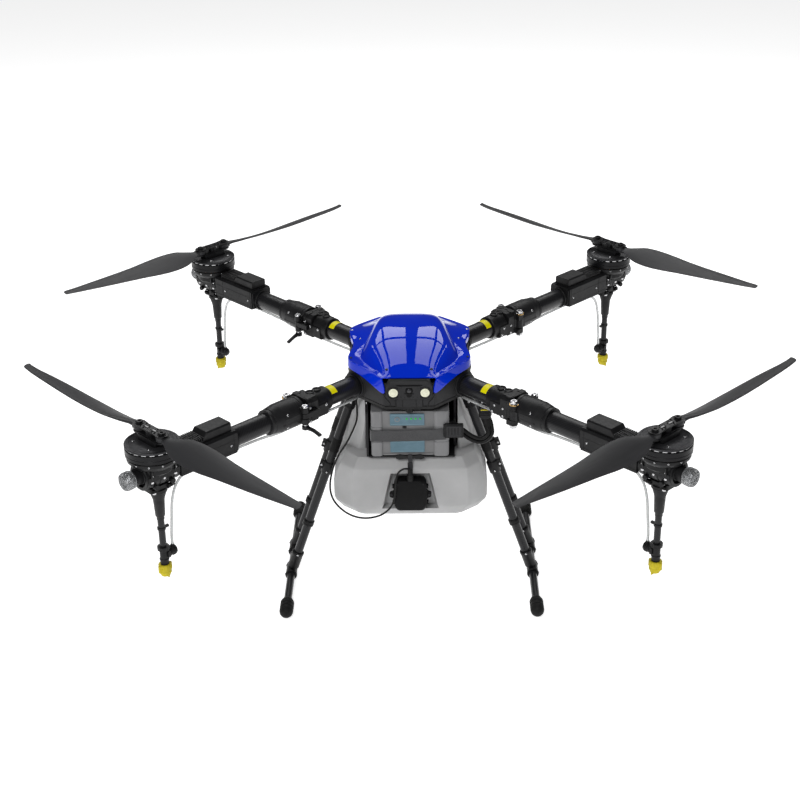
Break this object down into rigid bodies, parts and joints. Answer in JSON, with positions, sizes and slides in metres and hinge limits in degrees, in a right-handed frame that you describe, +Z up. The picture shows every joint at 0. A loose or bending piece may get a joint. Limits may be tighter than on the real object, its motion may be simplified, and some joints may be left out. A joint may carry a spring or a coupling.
{
  "type": "agricultural spray drone",
  "caption": "Four-arm spray drone with folding arms and blades, plug-in tank, slide-in battery, spray lances under the motors and skid landing gear.",
  "frame": {"origin": "on the ground under the centre of the body", "axes": "+Z up, -Y towards the nose, +X to the right seen from the front"},
  "size_m": [1.4304, 1.4404, 0.559],
  "materials": {
    "blue_hood": "glossy painted shell",
    "black_plastic": "fine moulded texture",
    "dark_plastic": "satin",
    "carbon": "satin carbon tube",
    "coated_metal": "satin black anodised",
    "steel": "bright bolt",
    "lamp_glass": "clear lens",
    "tank_plastic": "translucent moulded tank",
    "battery_shell": "moulded grey",
    "webbing": "woven strap",
    "rubber": "matt rubber",
    "clear_hose": "clear tube",
    "yellow_plastic": "moulded yellow",
    "blade_plastic": "satin composite"
  },
  "bodies": {
    "airframe": {"centre_frame": "carbon", "inner_tubes": "carbon", "hinge_blocks": "coated_metal", "hinge_pins": "steel", "lower_shell": "black_plastic", "nose_module": "dark_plastic", "headlights": "lamp_glass", "hood": "blue_hood", "battery_cage": "black_plastic", "leg_tubes": "carbon", "leg_fittings": "black_plastic", "skid_tubes": "carbon", "skid_caps": "rubber", "radar_unit": "black_plastic", "radar_cable": "rubber", "avionics": "black_plastic", "water_pump": "black_plastic", "feed_hoses": "clear_hose", "power_socket": "black_plastic"},
    "battery": {"battery_pack": "battery_shell", "battery_strap": "webbing", "battery_lead": "rubber"},
    "tank": {"tank": "tank_plastic"},
    "tank_cap": {"tank_cap": "black_plastic"},
    "arm_fl": {"arm_fl": "carbon", "pod_fl": "coated_metal", "lance_fl": "black_plastic", "hose_fl": "clear_hose"},
    "nozzle_fl": {"nozzle_fl": "yellow_plastic"},
    "rotor_fl": {"rotor_fl": "coated_metal"},
    "blade_a_fl": {"blade_a_fl": "blade_plastic"},
    "blade_b_fl": {"blade_b_fl": "blade_plastic"},
    "latch_fl": {"latch_fl": "black_plastic"},
    "arm_fr": {"arm_fr": "carbon", "pod_fr": "coated_metal", "lance_fr": "black_plastic", "hose_fr": "clear_hose"},
    "nozzle_fr": {"nozzle_fr": "yellow_plastic"},
    "rotor_fr": {"rotor_fr": "coated_metal"},
    "blade_a_fr": {"blade_a_fr": "blade_plastic"},
    "blade_b_fr": {"blade_b_fr": "blade_plastic"},
    "latch_fr": {"latch_fr": "black_plastic"},
    "arm_rl": {"arm_rl": "carbon", "pod_rl": "coated_metal", "lance_rl": "black_plastic", "hose_rl": "clear_hose"},
    "nozzle_rl": {"nozzle_rl": "yellow_plastic"},
    "rotor_rl": {"rotor_rl": "coated_metal"},
    "blade_a_rl": {"blade_a_rl": "blade_plastic"},
    "blade_b_rl": {"blade_b_rl": "blade_plastic"},
    "latch_rl": {"latch_rl": "black_plastic"},
    "arm_rr": {"arm_rr": "carbon", "pod_rr": "coated_metal", "lance_rr": "black_plastic", "hose_rr": "clear_hose"},
    "nozzle_rr": {"nozzle_rr": "yellow_plastic"},
    "rotor_rr": {"rotor_rr": "coated_metal"},
    "blade_a_rr": {"blade_a_rr": "blade_plastic"},
    "blade_b_rr": {"blade_b_rr": "blade_plastic"},
    "latch_rr": {"latch_rr": "black_plastic"}
  },
  "joints": [
    {"name": "battery_slide", "type": "slide", "parent": "airframe", "child": "battery", "axis": [0, 1, 0], "range_m": [-0.2, 0]},
    {"name": "tank_slide", "type": "slide", "parent": "airframe", "child": "tank", "axis": [0, -1, 0], "range_m": [-0.34, 0]},
    {"name": "tank_cap_turn", "type": "hinge", "parent": "tank", "child": "tank_cap", "pos_m": [0, 0.118, 0.33], "axis": [0, 0, 1], "range_deg": [0, 90]},
    {"name": "fold_fl", "type": "hinge", "parent": "airframe", "child": "arm_fl", "pos_m": [-0.22981, -0.19445, 0.472], "axis": [0, 0, -1], "range_deg": [0, 130]},
    {"name": "latch_fl", "type": "hinge", "parent": "arm_fl", "child": "latch_fl", "pos_m": [-0.19304, -0.23547, 0.472], "axis": [0, 0, -1], "range_deg": [0, 60]},
    {"name": "spin_fl", "type": "hinge", "parent": "arm_fl", "child": "rotor_fl", "pos_m": [-0.44194, -0.44194, 0.528], "axis": [0, 0, 1], "continuous": true},
    {"name": "swing_a_fl", "type": "hinge", "parent": "rotor_fl", "child": "blade_a_fl", "pos_m": [-0.41931, -0.46457, 0.5475], "axis": [0, 0, 1], "range_deg": [-80, 80]},
    {"name": "swing_b_fl", "type": "hinge", "parent": "rotor_fl", "child": "blade_b_fl", "pos_m": [-0.46457, -0.41931, 0.5475], "axis": [0, 0, -1], "range_deg": [-80, 80]},
    {"name": "nozzle_turn_fl", "type": "hinge", "parent": "arm_fl", "child": "nozzle_fl", "pos_m": [-0.43982, -0.43982, 0.27], "axis": [0, 0, -1], "range_deg": [0, 90]},
    {"name": "fold_fr", "type": "hinge", "parent": "airframe", "child": "arm_fr", "pos_m": [0.19445, -0.22981, 0.472], "axis": [0, 0, -1], "range_deg": [0, 130]},
    {"name": "latch_fr", "type": "hinge", "parent": "arm_fr", "child": "latch_fr", "pos_m": [0.23547, -0.19304, 0.472], "axis": [0, 0, -1], "range_deg": [0, 60]},
    {"name": "spin_fr", "type": "hinge", "parent": "arm_fr", "child": "rotor_fr", "pos_m": [0.44194, -0.44194, 0.528], "axis": [0, 0, -1], "continuous": true},
    {"name": "swing_a_fr", "type": "hinge", "parent": "rotor_fr", "child": "blade_a_fr", "pos_m": [0.46457, -0.41931, 0.5475], "axis": [0, 0, 1], "range_deg": [-80, 80]},
    {"name": "swing_b_fr", "type": "hinge", "parent": "rotor_fr", "child": "blade_b_fr", "pos_m": [0.41931, -0.46457, 0.5475], "axis": [0, 0, -1], "range_deg": [-80, 80]},
    {"name": "nozzle_turn_fr", "type": "hinge", "parent": "arm_fr", "child": "nozzle_fr", "pos_m": [0.43982, -0.43982, 0.27], "axis": [0, 0, -1], "range_deg": [0, 90]},
    {"name": "fold_rl", "type": "hinge", "parent": "airframe", "child": "arm_rl", "pos_m": [-0.19445, 0.22981, 0.472], "axis": [0, 0, -1], "range_deg": [0, 130]},
    {"name": "latch_rl", "type": "hinge", "parent": "arm_rl", "child": "latch_rl", "pos_m": [-0.23547, 0.19304, 0.472], "axis": [0, 0, -1], "range_deg": [0, 60]},
    {"name": "spin_rl", "type": "hinge", "parent": "arm_rl", "child": "rotor_rl", "pos_m": [-0.44194, 0.44194, 0.528], "axis": [0, 0, -1], "continuous": true},
    {"name": "swing_a_rl", "type": "hinge", "parent": "rotor_rl", "child": "blade_a_rl", "pos_m": [-0.46457, 0.41931, 0.5475], "axis": [0, 0, 1], "range_deg": [-80, 80]},
    {"name": "swing_b_rl", "type": "hinge", "parent": "rotor_rl", "child": "blade_b_rl", "pos_m": [-0.41931, 0.46457, 0.5475], "axis": [0, 0, -1], "range_deg": [-80, 80]},
    {"name": "nozzle_turn_rl", "type": "hinge", "parent": "arm_rl", "child": "nozzle_rl", "pos_m": [-0.43982, 0.43982, 0.27], "axis": [0, 0, -1], "range_deg": [0, 90]},
    {"name": "fold_rr", "type": "hinge", "parent": "airframe", "child": "arm_rr", "pos_m": [0.22981, 0.19445, 0.472], "axis": [0, 0, -1], "range_deg": [0, 130]},
    {"name": "latch_rr", "type": "hinge", "parent": "arm_rr", "child": "latch_rr", "pos_m": [0.19304, 0.23547, 0.472], "axis": [0, 0, -1], "range_deg": [0, 60]},
    {"name": "spin_rr", "type": "hinge", "parent": "arm_rr", "child": "rotor_rr", "pos_m": [0.44194, 0.44194, 0.528], "axis": [0, 0, 1], "continuous": true},
    {"name": "swing_a_rr", "type": "hinge", "parent": "rotor_rr", "child": "blade_a_rr", "pos_m": [0.41931, 0.46457, 0.5475], "axis": [0, 0, 1], "range_deg": [-80, 80]},
    {"name": "swing_b_rr", "type": "hinge", "parent": "rotor_rr", "child": "blade_b_rr", "pos_m": [0.46457, 0.41931, 0.5475], "axis": [0, 0, -1], "range_deg": [-80, 80]},
    {"name": "nozzle_turn_rr", "type": "hinge", "parent": "arm_rr", "child": "nozzle_rr", "pos_m": [0.43982, 0.43982, 0.27], "axis": [0, 0, -1], "range_deg": [0, 90]}
  ]
}
